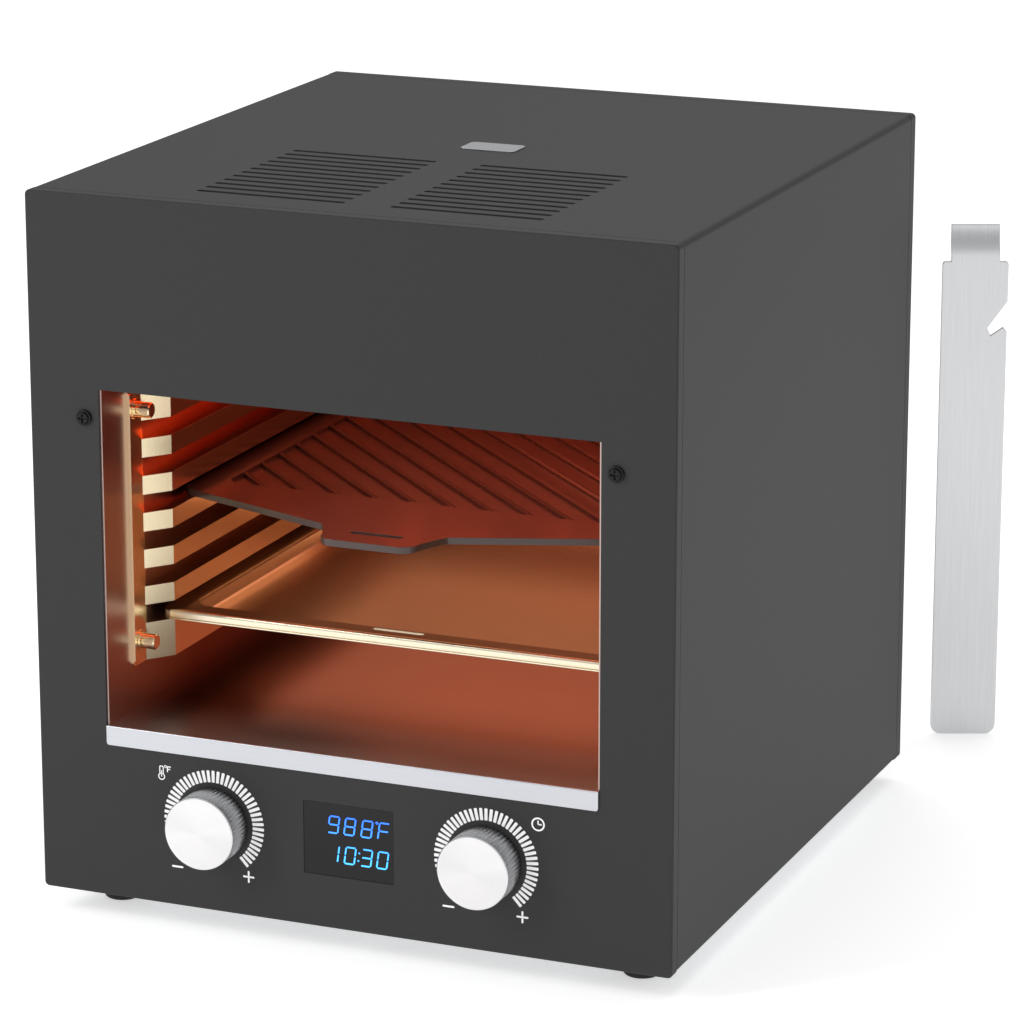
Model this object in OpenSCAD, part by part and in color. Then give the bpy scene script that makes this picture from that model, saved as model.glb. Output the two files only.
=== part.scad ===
// Countertop infrared steak oven: an open-front stainless chamber in a painted
// sheet-steel case, with two push-and-turn controls, a display, a griddle plate,
// a drip tray and the loose tool that lifts them.
// X runs to the right, Y to the back, Z up. The origin is on the worktop,
// under the middle of the case.

/* [Case] */
// Width of the case
body_w = 340; // [332:1:420]
// Depth of the case, without the knobs
body_d = 360; // [350:1:440]
// Height of the case above its feet
body_h = 360; // [352:1:440]
// Height of the front panel's lower edge above the worktop
foot_h = 12.5; // [8:0.5:25]
// Thickness of the painted case sheet
sheet_t = 1.2; // [0.8:0.1:1.5]
// Outside bend radius along the top edges of the case
bend_r = 3; // [2:0.5:5]
// Corner radius of the front and rear pans
corner_r = 2.5; // [2:0.5:4]
// Depth of the turned rim of the front and rear pans
rim_d = 7; // [5:0.5:12]
// Length of the inner lip that the case sheet slides over
lip_d = 10; // [6:1:14]
// Open seam between a pan and the case sheet
seam = 0.4; // [0.2:0.1:1]
// How far the side sheets stop short of the front panel's lower edge
side_lift = 2.3; // [1:0.1:4]
// Diameter of a rubber foot
foot_dia = 21; // [16:1:26]
// Foot centre, in from the side
foot_in_x = 27.6; // [22:0.2:40]
// Foot centre, in from the front or the back
foot_in_y = 33; // [30:1:50]
// Front screws above the panel's lower edge
front_screw_h = 248.3; // [240:0.1:256]
// How far the front screws are outside the opening
front_screw_out = 7.75; // [6:0.05:10]

/* [Top vents] */
// Slots in each of the two groups
vent_count = 12; // [4:1:14]
// Length of a slot
vent_len = 79; // [40:1:90]
// Width of a slot
vent_w = 3.8; // [2:0.1:5]
// Distance from slot to slot
vent_pitch = 10; // [8:0.1:12]
// Gap between the two groups
vent_gap = 24; // [12:1:40]
// First slot, behind the front edge
vent_start = 30; // [24:1:60]

/* [Chamber] */
// Width of the front opening
open_w = 264.5; // [250:0.5:280]
// Floor of the chamber above the front panel's lower edge
floor_h = 90.5; // [86:0.5:100]
// Height of the opening above the chamber floor
open_h = 172.5; // [160:0.5:176]
// How far the chamber ceiling is above the top of the opening
header_h = 32; // [24:1:36]
// Depth from the front face to the back wall
chamber_d = 330; // [315:1:335]
// Thickness of the stainless liner
liner_t = 0.8; // [0.6:0.1:1.2]
// How far the liner stands in from the edge of the opening
liner_in = 1.1; // [0.8:0.1:2]
// Height of the bright lip that folds down over the front panel
lip_h = 10; // [6:0.5:14]
// Thickness of the wool blankets
wool_t = 26; // [15:1:28]

/* [Rack guides] */
// Number of shelf levels
level_count = 6; // [3:1:6]
// Height of a slot
slot_h = 9.5; // [7:0.1:11]
// Height of the web between two slots
web_h = 9.7; // [7:0.1:11]
// Height of the webs at the top and the bottom
end_web_h = 19.4; // [14:0.1:22]
// Lower end of the guide above the chamber floor
guide_up = 22.5; // [16:0.5:24]
// How far the inner face stands off the chamber wall
guide_out = 11; // [8:0.5:14]
// Front edge of the flange, behind the front face
guide_front = 27; // [20:1:34]
// Width of the flat flange at each end
guide_flange = 15; // [12:1:20]
// Length of the slanted faces, front to back
guide_slant = 12; // [8:0.5:16]
// Sheet thickness of the guides
guide_t = 1; // [0.8:0.1:1.2]
// Diameter of the studs that hold the guides
stud_dia = 8; // [6:0.5:9]
// Length of the stud heads
stud_len = 9; // [5:0.5:10]

/* [Griddle] */
// Level that the griddle sits at, counted from the bottom
griddle_level = 4; // [3:1:5]
// Width of the griddle and of the tray, into the guides
rack_w = 255; // [250:0.5:258]
// Thickness of the griddle plate
griddle_t = 3.5; // [2.5:0.1:5]
// Griddle's front corners, behind the front face
griddle_corner = 79; // [70:1:90]
// Where the slanted front edges meet the tab
griddle_shoulder = 46; // [40:1:60]
// Tip of the tab, behind the front face
griddle_tip = 21; // [14:1:30]
// Rear edge of the griddle, behind the front face
griddle_back = 312; // [280:1:314]
// Depth of the sunken cooking area
griddle_sink = 2.5; // [1:0.5:3]
// Ribs across the cooking area
rib_count = 13; // [6:1:16]

/* [Drip tray] */
// Level that the tray sits at, counted from the bottom
tray_level = 1; // [1:1:2]
// Front edge of the tray, behind the front face
tray_front = 51; // [48:1:70]
// Rear edge of the tray, behind the front face
tray_back = 310; // [280:1:314]
// Height of the rolled rim
tray_rim_h = 5.2; // [3.5:0.1:6]
// Depth of the tray below the top of its rim
tray_deep = 9.2; // [6:0.2:12]
// Sheet thickness of the tray
tray_t = 0.8; // [0.6:0.1:1.2]

/* [Lifting tool] */
// Width of the lifting tool
tool_w = 36.7; // [30:0.1:45]
// Length of its broad part
tool_len = 275; // [180:1:300]
// Width of the tongue that goes into a plate's slot
tongue_w = 27; // [20:0.1:28]
// Length of the tongue
tongue_len = 20; // [14:1:30]
// Thickness of the tool
tool_t = 2.5; // [1.5:0.1:3]
// Turn of the tool about the upright
tool_turn = 22.5; // [0:0.5:45]
// Clearance all round the tongue in a slot
tongue_gap = 0.6; // [0.3:0.1:1.5]

/* [Controls] */
// Knob centres to the left and right of the middle
knob_x = 73.4; // [64:0.1:84]
// Centres of the knobs and the display above the panel's lower edge
control_h = 46.5; // [44:0.5:48]
// Diameter of a knob
knob_dia = 37.4; // [28:0.1:40]
// Depth of a knob
knob_len = 16.2; // [12:0.1:20]
// Gap between a knob and the panel
knob_gap = 1.6; // [1.2:0.1:3]
// How far a knob pushes in
press_travel = 0.8; // [0.4:0.1:1]
// Diameter of a control shaft
shaft_dia = 6; // [5:0.5:6]
// Diameter of a control's threaded bush
bush_dia = 9; // [8:0.5:10]
// Width of the display window
window_w = 48.5; // [40:0.5:54]
// Height of the display window
window_h = 38; // [30:0.5:44]

/* [Heater] */
// Diameter of the heating tube
tube_dia = 8; // [6:0.5:9]
// Distance from run to run
run_pitch = 30; // [24:1:32]
// Runs of each element
run_count = 4; // [2:2:4]
// Tube centre below the chamber ceiling
tube_drop = 16; // [12:0.5:20]
// Fronts of the bends, behind the front face
tube_front = 30; // [24:1:60]

/* [Cooling fan] */
// Width of the square fan frame
fan_w = 60; // [50:1:70]
// Depth of the fan
fan_d = 15; // [12:1:20]
// Number of blades
blade_count = 7; // [5:1:9]

/* [Fits] */
// Radial clearance of a shaft that turns in its bush
run_gap = 0.05; // [0.02:0.01:0.1]
// Clearance under and beside the loose plates
slide_gap = 0.3; // [0.3:0.1:0.6]
// Clearance round a fixed piece in its cut-out
fit_gap = 0.2; // [0.1:0.05:0.4]

/* [Hidden] */
$fn = 48;
eps = 0.01;

// Main planes of the case
front_y = -body_d / 2;
back_y = body_d / 2;
base_z = foot_h;
top_z = foot_h + body_h;
inner_x = body_w / 2 - sheet_t;
front_in = front_y + sheet_t;
back_in = back_y - sheet_t;
bottom_z = base_z + 2 * sheet_t;
bay_z = bottom_z + sheet_t;
control_z = base_z + control_h;

// Main planes of the chamber
floor_z = base_z + floor_h;
open_top = floor_z + open_h;
ceiling_z = open_top + header_h;
wall_x = open_w / 2 - liner_in;
wall_out = wall_x + liner_t;
chamber_back = front_y + chamber_d;
liner_back = chamber_back + liner_t;
wall_flange = 18;
screw_z = base_z + front_screw_h;
screw_x = open_w / 2 + front_screw_out;
support_half = 110;

// Standard fasteners
m4 = 4;
m4_hole = 4.3;
m4_head = 8;
m4_head_h = 2.6;
m4_nut = 7;
m4_nut_h = 3.2;
m3 = 3;
m3_hole = 3.2;
m3_head = 5.6;
m3_head_h = 1.8;

// Rack guides: places of the slots and studs
level_pitch = slot_h + web_h;
guide_z = floor_z + guide_up;
guide_h = 2 * end_web_h + level_count * slot_h + (level_count - 1) * web_h;
guide_rear = chamber_d - 3;
guide_hem = 2;
stud_in = guide_flange - 6.5;
stud_ys = [guide_front + stud_in, guide_rear - stud_in];
stud_zs = [guide_z + 12, guide_z + guide_h - 12];
function level_z(n) = guide_z + end_web_h + (n - 1) * level_pitch;

// Griddle and tray
griddle_z = level_z(griddle_level) + slide_gap;
tray_z = level_z(tray_level) + slide_gap;
pan_w = 2 * (wall_x - guide_out) - 8;
tab_half = 31;
tab_r = 9;
griddle_rim = 18;
slot_w = tongue_w + 2 * tongue_gap;
slot_d = tool_t + 2 * tongue_gap;

// Controls: planes behind and before the panel
board_front = front_in + 7.5;
board_t = 1.6;
encoder_w = 13;
bush_out = 4.5;
nut_w = 12;
nut_h = 2;
knob_back = front_y - knob_gap;
knob_recess = 8;
plunger_h = 1.5;
plunger_front = board_front - 3.5;
hub_dia = 14;
cap_t = 1.5;

// Heater
tube_z = ceiling_z - tube_drop;
bush_len = 17;
element_ys = [front_y + tube_front + run_pitch / 2, chamber_back - 30 - run_pitch / 2];

// Rear services
wool_back = 12;
fan_x = -62;
fan_z = bay_z + 6 + fan_w / 2;
fan_front = back_in - fan_d - fit_gap;
fan_hub = 25;
inlet_x = 96;
inlet_z = bay_z + 26;
power_x = 24;
power_y = 60;
power_w = 130;
power_d = 90;
power_z = bay_z + 8;
support_x = 116;
lead_y = back_in - 5;
terminal_y = chamber_back + bush_len + 3;
probe_end = chamber_back + wool_back + 4;

// ---- shared shapes ----

// Rectangle with round corners, centred
module round_rect(w, h, r) {
    square([w - 2 * r, h], center = true);
    square([w, h - 2 * r], center = true);
    for (x = [-1, 1], y = [-1, 1])
        translate([x * (w / 2 - r), y * (h / 2 - r)]) circle(r);
}

// Upright plate: centred on X, standing on z = 0, thickness towards +Y
module slab(w, h, t, r) {
    translate([0, t, h / 2]) rotate([90, 0, 0]) linear_extrude(t) round_rect(w, h, r);
}

// Box given by its two corners
module block(a, b) {
    translate(a) cube(b - a);
}

// Cylinder along +Y from y to y + len
module y_pin(x, y, z, d, len) {
    translate([x, y, z]) rotate([-90, 0, 0]) cylinder(d = d, h = len);
}

// Cylinder along +X from x to x + len
module x_pin(x, y, z, d, len) {
    translate([x, y, z]) rotate([0, 90, 0]) cylinder(d = d, h = len);
}

// Round bar from point p to point q
module bar(p, q, d) {
    v = q - p;
    translate(p) rotate([0, acos(v.z / norm(v)), atan2(v.y, v.x)]) cylinder(d = d, h = norm(v));
}

// Insulated lead through a list of points, a little fuller at its bends
module lead(points, d) {
    for (i = [0 : len(points) - 2]) bar(points[i], points[i + 1], d);
    for (i = [1 : len(points) - 2]) translate(points[i]) sphere(d = d * 1.2);
}

// Pan: a plate with a turned rim and an inner lip, plate at y = 0, open to +Y
module pan() {
    difference() {
        slab(body_w, body_h, rim_d, corner_r);
        translate([0, sheet_t, sheet_t])
            slab(body_w - 2 * sheet_t, body_h - 2 * sheet_t, rim_d, corner_r - sheet_t);
    }
    difference() {
        translate([0, sheet_t / 2, sheet_t])
            slab(body_w - 2 * sheet_t, body_h - 2 * sheet_t, rim_d + lip_d - sheet_t / 2,
                bend_r - sheet_t);
        translate([0, sheet_t, 2 * sheet_t])
            slab(body_w - 4 * sheet_t, body_h - 4 * sheet_t, rim_d + lip_d, 0.1);
    }
}

// Pan-head screw along +Y, its head's seat at y = 0 and its head towards -Y
module pan_screw(d, head, head_h, len) {
    rotate([90, 0, 0]) {
        cylinder(d = head, h = head_h * 0.55);
        cylinder(d1 = head, d2 = head * 0.7, h = head_h);
    }
    rotate([-90, 0, 0]) cylinder(d = d, h = len);
}

// Hexagon nut along +Y
module hex_nut(af, bore, h) {
    rotate([-90, 0, 0]) difference() {
        cylinder(d = af / cos(30), h = h, $fn = 6);
        translate([0, 0, -1]) cylinder(d = bore, h = h + 2);
    }
}

// ---- case ----

module shell_profile(inset) {
    w = body_w - 2 * inset;
    r = bend_r - inset;
    intersection() {
        translate([0, (top_z - inset) / 2]) round_rect(w, top_z - inset, max(r, 0.5));
        translate([-w, base_z + side_lift - inset * 2]) square([2 * w, body_h]);
    }
}

// Tab behind the rear panel that a rear screw goes into
module rear_tab(z) {
    y0 = back_y - rim_d - lip_d - 14;
    block([inner_x - 2 * sheet_t - fit_gap, y0, z - 10], [inner_x + eps, y0 + 10, z + 10]);
    block([inner_x - 2 * sheet_t - fit_gap, y0, z - 10],
        [inner_x - sheet_t - fit_gap, back_in, z + 10]);
    difference() {
        block([inner_x - 20, back_in - sheet_t, z - 10],
            [inner_x - sheet_t - fit_gap, back_in, z + 10]);
        y_pin(inner_x - 12, back_in - 5, z, m4_hole, 10);
    }
}
tab_zs = [base_z + 60, top_z - 50];

module outer_shell() {
    y0 = front_y + rim_d + seam;
    y1 = back_y - rim_d - seam;
    color("#4b4b4b") {
        difference() {
            translate([0, y1, 0]) rotate([90, 0, 0]) linear_extrude(y1 - y0) difference() {
                shell_profile(0);
                shell_profile(sheet_t);
            }
            for (side = [-1, 1], i = [0 : vent_count - 1])
                translate([side * (vent_gap + vent_len) / 2,
                    front_y + vent_start + i * vent_pitch, top_z - 5])
                    linear_extrude(10) round_rect(vent_len, vent_w, vent_w / 2 - 0.05);
        }
        for (side = [0, 1], z = tab_zs) mirror([side, 0, 0]) rear_tab(z);
    }
}

module front_panel() {
    color("#454545") difference() {
        translate([0, front_y, base_z]) pan();
        translate([0, front_y - 1, floor_z - liner_t - fit_gap])
            slab(open_w, open_h + liner_t + fit_gap, 4, 0.3);
        translate([0, front_y - 1, control_z - window_h / 2]) slab(window_w, window_h, 4, 0.5);
        for (x = [-knob_x, knob_x]) y_pin(x, front_y - 1, control_z, bush_dia + 2 * fit_gap, 4);
        for (x = [-screw_x, screw_x]) y_pin(x, front_y - 1, screw_z, m4_hole, 4);
        base_screw_holes();
    }
}

module rear_panel() {
    grille_r = fan_w / 2 - 3;
    color("#3c3c3c") difference() {
        translate([0, back_y, base_z]) mirror([0, 1, 0]) pan();
        for (side = [-1, 1], i = [0 : 7])
            translate([side * 62, back_y - 4, ceiling_z - 10 - i * 9]) slab(72, 3.6, 8, 1.7);
        for (i = [-4 : 4])
            translate([fan_x, back_y - 4, fan_z + i * 6 - 1.8])
                slab(2 * sqrt(pow(grille_r, 2) - pow(i * 6, 2)), 3.6, 8, 1.7);
        for (x = [-1, 1], z = [-1, 1])
            y_pin(fan_x + x * fan_bolt / 2, back_y - 4, fan_z + z * fan_bolt / 2, m3_hole, 8);
        block([inlet_x - 14 - fit_gap, back_y - 4, inlet_z - 10.5 - fit_gap],
            [inlet_x + 14 + fit_gap, back_y + 1, inlet_z + 10.5 + fit_gap]);
        for (x = [-20, 20]) y_pin(inlet_x + x, back_y - 4, inlet_z, m3_hole, 8);
        for (side = [-1, 1], z = tab_zs)
            y_pin(side * (inner_x - 12), back_y - 4, z, m4_hole, 8);
        base_screw_holes();
    }
}
fan_bolt = fan_w - 10;

// Screws under the case, through a pan's lip and the base pan
base_screw_xs = [-110, 0, 110];
base_screw_in = rim_d + lip_d / 2;
module at_base_screws() {
    for (x = base_screw_xs, y = [front_y + base_screw_in, back_y - base_screw_in])
        translate([x, y, base_z + sheet_t]) rotate([90, 0, 0]) children();
}
module base_screw_holes() {
    at_base_screws() rotate([-90, 0, 0]) translate([0, 0, -6]) cylinder(d = m4_hole, h = 12);
}

module base_pan() {
    narrow = inner_x - sheet_t - fit_gap;
    y_lip = body_d / 2 - rim_d - lip_d - fit_gap;
    flange_h = 14;
    color("#8f9296") difference() {
        union() {
            block([-narrow, front_y + rim_d - 4, bottom_z], [narrow, back_y - rim_d + 4, bay_z]);
            block([-inner_x, -y_lip, bottom_z], [inner_x, y_lip, bay_z]);
            for (x = [-inner_x, inner_x - sheet_t])
                block([x, -y_lip, bottom_z], [x + sheet_t, y_lip, bay_z + flange_h]);
        }
        at_feet() translate([0, 0, bottom_z - 2]) cylinder(d = m4_hole, h = 6);
        base_screw_holes();
        for (x = [-60, 60], i = [0 : 8])
            translate([x, -76 + i * 12, bottom_z - 2]) linear_extrude(6) round_rect(70, 5, 2.4);
    }
}

module at_feet() {
    for (x = [-1, 1], y = [-1, 1])
        translate([x * (body_w / 2 - foot_in_x), y * (body_d / 2 - foot_in_y), 0]) children();
}

module rubber_feet() {
    r = foot_dia / 2;
    color("#1b1b1b") at_feet() rotate_extrude()
        polygon([[m4 / 2 + fit_gap, 5], [m4_head / 2 + 0.6, 5], [m4_head / 2 + 0.6, 0],
            [r - 2, 0], [r - 1, 1], [r, bottom_z], [m4 / 2 + fit_gap, bottom_z]]);
}

module foot_screws() {
    color("#9a9da1") at_feet() {
        translate([0, 0, 5]) rotate([90, 0, 0])
            pan_screw(m4, m4_head, m4_head_h, bay_z + m4_nut_h + 1 - 5);
        translate([0, 0, bay_z]) rotate([90, 0, 0]) hex_nut(m4_nut, m4 - eps, m4_nut_h);
    }
}

module base_screws() {
    color("#9a9da1") at_base_screws() {
        pan_screw(m4, m4_head, m4_head_h, 2 * sheet_t + m4_nut_h + 1);
        translate([0, 2 * sheet_t, 0]) hex_nut(m4_nut, m4 - eps, m4_nut_h);
    }
}

module rear_screws() {
    color("#2a2a2a") {
        for (side = [-1, 1], z = tab_zs)
            translate([side * (inner_x - 12), back_y, z]) rotate([0, 0, 180]) {
                pan_screw(m4, m4_head, m4_head_h, 2 * sheet_t + m4_nut_h + 1);
                translate([0, 2 * sheet_t, 0]) hex_nut(m4_nut, m4 - eps, m4_nut_h);
            }
        for (x = [-1, 1], z = [-1, 1])
            translate([fan_x + x * fan_bolt / 2, back_y, fan_z + z * fan_bolt / 2])
                rotate([0, 0, 180]) pan_screw(m3, m3_head, m3_head_h, 9);
        for (x = [-20, 20])
            translate([inlet_x + x, back_y + 2.5, inlet_z])
                rotate([0, 0, 180]) pan_screw(m3, m3_head, m3_head_h, 9);
    }
}

module front_screws() {
    color("#141414") for (x = [-screw_x, screw_x]) translate([x, front_y, screw_z]) {
        difference() {
            pan_screw(m4, m4_head, m4_head_h, sheet_t + liner_t + m4_nut_h + 1);
            for (a = [0, 90]) rotate([0, a, 0])
                block([-2.3, -m4_head_h - 1, -0.45], [2.3, -m4_head_h + 1.1, 0.45]);
        }
        translate([0, sheet_t + liner_t, 0]) hex_nut(m4_nut, m4 - eps, m4_nut_h);
    }
}

// ---- chamber ----

// Left wall; the right one is its mirror image
module chamber_wall() {
    color("#b9b2aa") difference() {
        union() {
            block([-wall_out, front_in, floor_z], [-wall_x, chamber_back, ceiling_z]);
            block([-wall_out - wall_flange, front_in, floor_z],
                [-wall_x, front_in + liner_t, ceiling_z]);
        }
        y_pin(-screw_x, front_in - 2, screw_z, m4_hole, 6);
        for (y = stud_ys, z = stud_zs) x_pin(-wall_out - 3, front_y + y, z, m4_hole, 8);
    }
}

module chamber_left_wall() {
    chamber_wall();
}

module chamber_right_wall() {
    mirror([1, 0, 0]) chamber_wall();
}

module at_heater_holes() {
    for (side = [-1, 1], run = [0, run_count - 1])
        translate([side * run_pitch * (0.5 + run), 0, tube_z]) children();
}
probe_x = 62;
probe_z = level_z(griddle_level) + 22;

module chamber_back_wall() {
    color("#a8a19a") difference() {
        block([-wall_out, chamber_back, floor_z], [wall_out, liner_back, ceiling_z]);
        at_heater_holes() y_pin(0, chamber_back - 2, 0, 12 + fit_gap, 6);
        y_pin(probe_x, chamber_back - 2, probe_z, 6 + fit_gap, 6);
    }
}

// The floor sheet runs out through the opening and folds down as the bright lip
module chamber_floor() {
    lip_w = open_w - 0.8;
    out_y = front_y - liner_t - 0.1;
    color("#d6d8da") {
        translate([-lip_w / 2, 0, 0]) rotate([90, 0, 90]) linear_extrude(lip_w) {
            translate([out_y + liner_t, floor_z - liner_t]) intersection() {
                circle(liner_t);
                translate([-liner_t, 0]) square(liner_t);
            }
            translate([out_y + liner_t, floor_z - liner_t])
                square([front_in + 4 - out_y - liner_t, liner_t]);
        }
        translate([0, out_y, floor_z - lip_h]) difference() {
            slab(lip_w, lip_h + 4, liner_t, 1.5);
            block([-lip_w, -1, lip_h - liner_t], [lip_w, 3, lip_h + 6]);
        }
        block([-wall_out, front_in + 3, floor_z - liner_t], [wall_out, liner_back, floor_z]);
    }
}

module chamber_ceiling() {
    flange = 9;
    color("#b4b4b2") {
        difference() {
            block([-wall_out, front_in, ceiling_z], [wall_out, liner_back, ceiling_z + liner_t]);
            translate([0, 40, ceiling_z - 2]) cylinder(d = m4_hole, h = 6);
        }
        block([-wall_out, front_in, ceiling_z], [wall_out, front_in + liner_t, ceiling_z + flange]);
        block([-wall_out, chamber_back, ceiling_z], [wall_out, liner_back, ceiling_z + flange]);
    }
}

// Two Z-section rails that carry the chamber on the base pan
module chamber_supports() {
    top = floor_z - liner_t;
    color("#8f9296") for (side = [0, 1]) mirror([side, 0, 0]) difference() {
        union() {
            block([support_x, -support_half, bay_z], [support_x + sheet_t, support_half, top]);
            block([support_x, -support_half, bay_z],
                [support_x + 16, support_half, bay_z + sheet_t]);
            block([support_x - 14, -support_half, top - sheet_t],
                [support_x + sheet_t, support_half, top]);
        }
        for (y = [-70, 0, 70]) x_pin(support_x - 2, y, (bay_z + top) / 2, 24, 8);
    }
}

// ---- rack guides ----

// Plan outline of the left guide's folded sheet, from front to rear
module guide_line(full) {
    y0 = front_y + guide_front + guide_flange;
    y1 = front_y + guide_rear - guide_flange;
    s = guide_slant;
    o = guide_out;
    t = guide_t;
    outer = [[0, y0 - t], [t, y0 - t], [o, y0 + s], [o, y1 - s], [t, y1 + t], [0, y1 + t]];
    inner = [[0, y1 - 0.4 * t], [o - t, y1 - s - 0.4 * t], [o - t, y0 + s + 0.4 * t],
        [0, y0 + 0.4 * t]];
    translate([-wall_x, 0]) polygon(full ? outer : concat(outer, inner));
}

module rack_guide() {
    levels = [for (n = [1 : level_count]) level_z(n)];
    y_ends = [[guide_front, guide_front + guide_flange], [guide_rear - guide_flange, guide_rear]];
    color("#cdbfa8") difference() {
        union() {
            // flanges, flat on the wall, with a rounded lower front corner
            for (e = y_ends)
                translate([-wall_x, front_y + (e[0] + e[1]) / 2, guide_z + guide_h / 2])
                    rotate([90, 0, 90]) linear_extrude(guide_t)
                        round_rect(e[1] - e[0], guide_h, 2.5);
            // hem along the front edge
            block([-wall_x, front_y + guide_front, guide_z + 3],
                [-wall_x + 2 * guide_t, front_y + guide_front + guide_hem, guide_z + guide_h - 3]);
            // webs between the slots
            translate([0, 0, guide_z]) linear_extrude(end_web_h) guide_line(false);
            for (z = levels) translate([0, 0, z + slot_h])
                linear_extrude(z == levels[level_count - 1] ? end_web_h : web_h) guide_line(false);
            // shelf at the lower edge of each slot
            for (z = levels) translate([0, 0, z - guide_t]) linear_extrude(guide_t) guide_line(true);
        }
        for (y = stud_ys, z = stud_zs) x_pin(-wall_x - 2, front_y + y, z, m4_hole, 8);
    }
}

module left_rack_guide() {
    rack_guide();
}

module right_rack_guide() {
    mirror([1, 0, 0]) rack_guide();
}

module at_studs() {
    for (side = [0, 1], y = stud_ys, z = stud_zs)
        mirror([side, 0, 0]) translate([-wall_x, front_y + y, z]) rotate([0, 90, 0]) children();
}

module guide_studs() {
    color("#d8cdb8") at_studs() {
        translate([0, 0, guide_t]) cylinder(d = stud_dia + 2.6, h = 0.8);
        translate([0, 0, guide_t]) rotate_extrude() {
            r = stud_dia / 2;
            polygon([[0, 0], [r, 0], [r, stud_len - 0.6], [r - 0.6, stud_len], [0, stud_len]]);
        }
        translate([0, 0, -liner_t - 5]) cylinder(d = m4, h = guide_t + liner_t + 5 + eps);
    }
}

module guide_nuts() {
    color("#9a9da1") at_studs() translate([0, 0, -liner_t - m4_nut_h]) difference() {
        cylinder(d = m4_nut / cos(30), h = m4_nut_h, $fn = 6);
        translate([0, 0, -1]) cylinder(d = m4, h = m4_nut_h + 2);
    }
}

// ---- heater ----

// Serpentine sheathed element: straight runs along Y joined by half-ring bends
module heating_element() {
    xs = [for (i = [0 : run_count - 1]) run_pitch * (0.5 + i)];
    color("#6b4a3c") {
        for (i = [0 : run_count - 1]) {
            ends = i == 0 || i == run_count - 1;
            y1 = ends ? chamber_back - 4 : element_ys[1];
            y_pin(xs[i], element_ys[0], tube_z, tube_dia, y1 - element_ys[0]);
        }
        for (i = [0 : run_count - 2]) {
            rear = i % 2 == 1;
            translate([(xs[i] + xs[i + 1]) / 2, element_ys[rear ? 1 : 0], tube_z])
                rotate([0, 0, rear ? 0 : 180]) rotate_extrude(angle = 180)
                    translate([run_pitch / 2, 0]) circle(d = tube_dia);
        }
    }
}

module left_heating_element() {
    mirror([1, 0, 0]) heating_element();
}

module right_heating_element() {
    heating_element();
}

// Cross straps under the ceiling, with a hole for every run
module heater_hangers() {
    h = tube_drop + tube_dia / 2 + 4;
    reach = run_pitch * run_count + 4;
    color("#a8a8a4") for (y = [front_y + 80, chamber_back - 80]) difference() {
        union() {
            block([-reach, y, ceiling_z - h], [reach, y + 1, ceiling_z]);
            block([-reach, y, ceiling_z - 1], [reach, y + 10, ceiling_z]);
        }
        for (side = [-1, 1], i = [0 : run_count - 1])
            y_pin(side * run_pitch * (0.5 + i), y - 1, tube_z, tube_dia + 2 * fit_gap, 4);
    }
}

module heater_bushings() {
    color("#e9e4d8") at_heater_holes() difference() {
        union() {
            y_pin(0, chamber_back - 4, 0, 16, 4);
            y_pin(0, chamber_back - 0.1, 0, 12, bush_len);
        }
        y_pin(0, chamber_back - 5, 0, m4, bush_len + 10);
    }
}

module heater_terminals() {
    y0 = chamber_back - 4;
    color("#b8a878") at_heater_holes() {
        y_pin(0, y0, 0, m4, terminal_y - y0);
        y_pin(0, chamber_back + bush_len + 0.1, 0, 9, 2);
    }
}

// ---- insulation ----

module top_insulation() {
    z0 = ceiling_z + liner_t + 0.1;
    color("#e6e0d0") difference() {
        block([-wall_out, front_in + 6, z0], [wall_out, chamber_back - 4, z0 + wool_t]);
        translate([0, 40, z0 - 1]) cylinder(d = 44, h = wool_t + 2);
    }
}

module side_insulation() {
    color("#e6e0d0") difference() {
        block([-wall_out - wool_t, front_in + 8, floor_z + 2],
            [-wall_out - fit_gap, chamber_back, ceiling_z]);
        for (y = stud_ys, z = stud_zs) x_pin(-wall_out - 8, front_y + y, z, 12, 9);
    }
}

module left_insulation() {
    side_insulation();
}

module right_insulation() {
    mirror([1, 0, 0]) side_insulation();
}

module rear_insulation() {
    color("#e6e0d0") difference() {
        block([-wall_out, liner_back + 0.1, floor_z + 2],
            [wall_out, liner_back + wool_back, ceiling_z]);
        at_heater_holes() y_pin(0, liner_back - 1, 0, 13, wool_back + 3);
        y_pin(probe_x, liner_back - 1, probe_z, 16, wool_back + 3);
    }
}

module floor_insulation() {
    z1 = floor_z - liner_t - 0.1;
    reach = support_x - 15;
    color("#e6e0d0") block([-reach, -support_half, z1 - wool_t / 2], [reach, support_half, z1]);
}

// ---- sensing ----

module temperature_probe() {
    color("#c9c9c4") {
        y_pin(probe_x, chamber_back - 24, probe_z, 4, probe_end - chamber_back + 24);
        translate([probe_x, liner_back, probe_z]) hex_nut(10, 4 - eps, 4);
        y_pin(probe_x, chamber_back - 3, probe_z, 9, 3);
    }
}

module thermal_cutout() {
    z0 = ceiling_z + liner_t;
    color("#2b2622") translate([0, 40, z0]) {
        cylinder(d = 16, h = 9);
        for (x = [-4, 4]) translate([x - 0.4, -3, 9 - eps]) cube([0.8, 6, 9]);
        translate([-12, -5, 0]) cube([24, 10, 0.8]);
    }
}

// ---- controls ----

board_w = 200;
board_h = 54;
post_xs = [-board_w / 2 + 8, board_w / 2 - 8];
post_zs = [control_z - board_h / 2 + 6, control_z + board_h / 2 - 6];

module control_board() {
    color("#1f5a34") difference() {
        translate([0, board_front, control_z - board_h / 2]) slab(board_w, board_h, board_t, 1);
        for (x = post_xs, z = post_zs) y_pin(x, board_front - 2, z, m3_hole, 6);
    }
    color("#222222") {
        block([20, board_front + board_t, control_z - 8],
            [34, board_front + board_t + 2, control_z + 6]);
        block([-50, board_front + board_t, control_z - 20],
            [-30, board_front + board_t + 9, control_z - 12]);
    }
}

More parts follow.
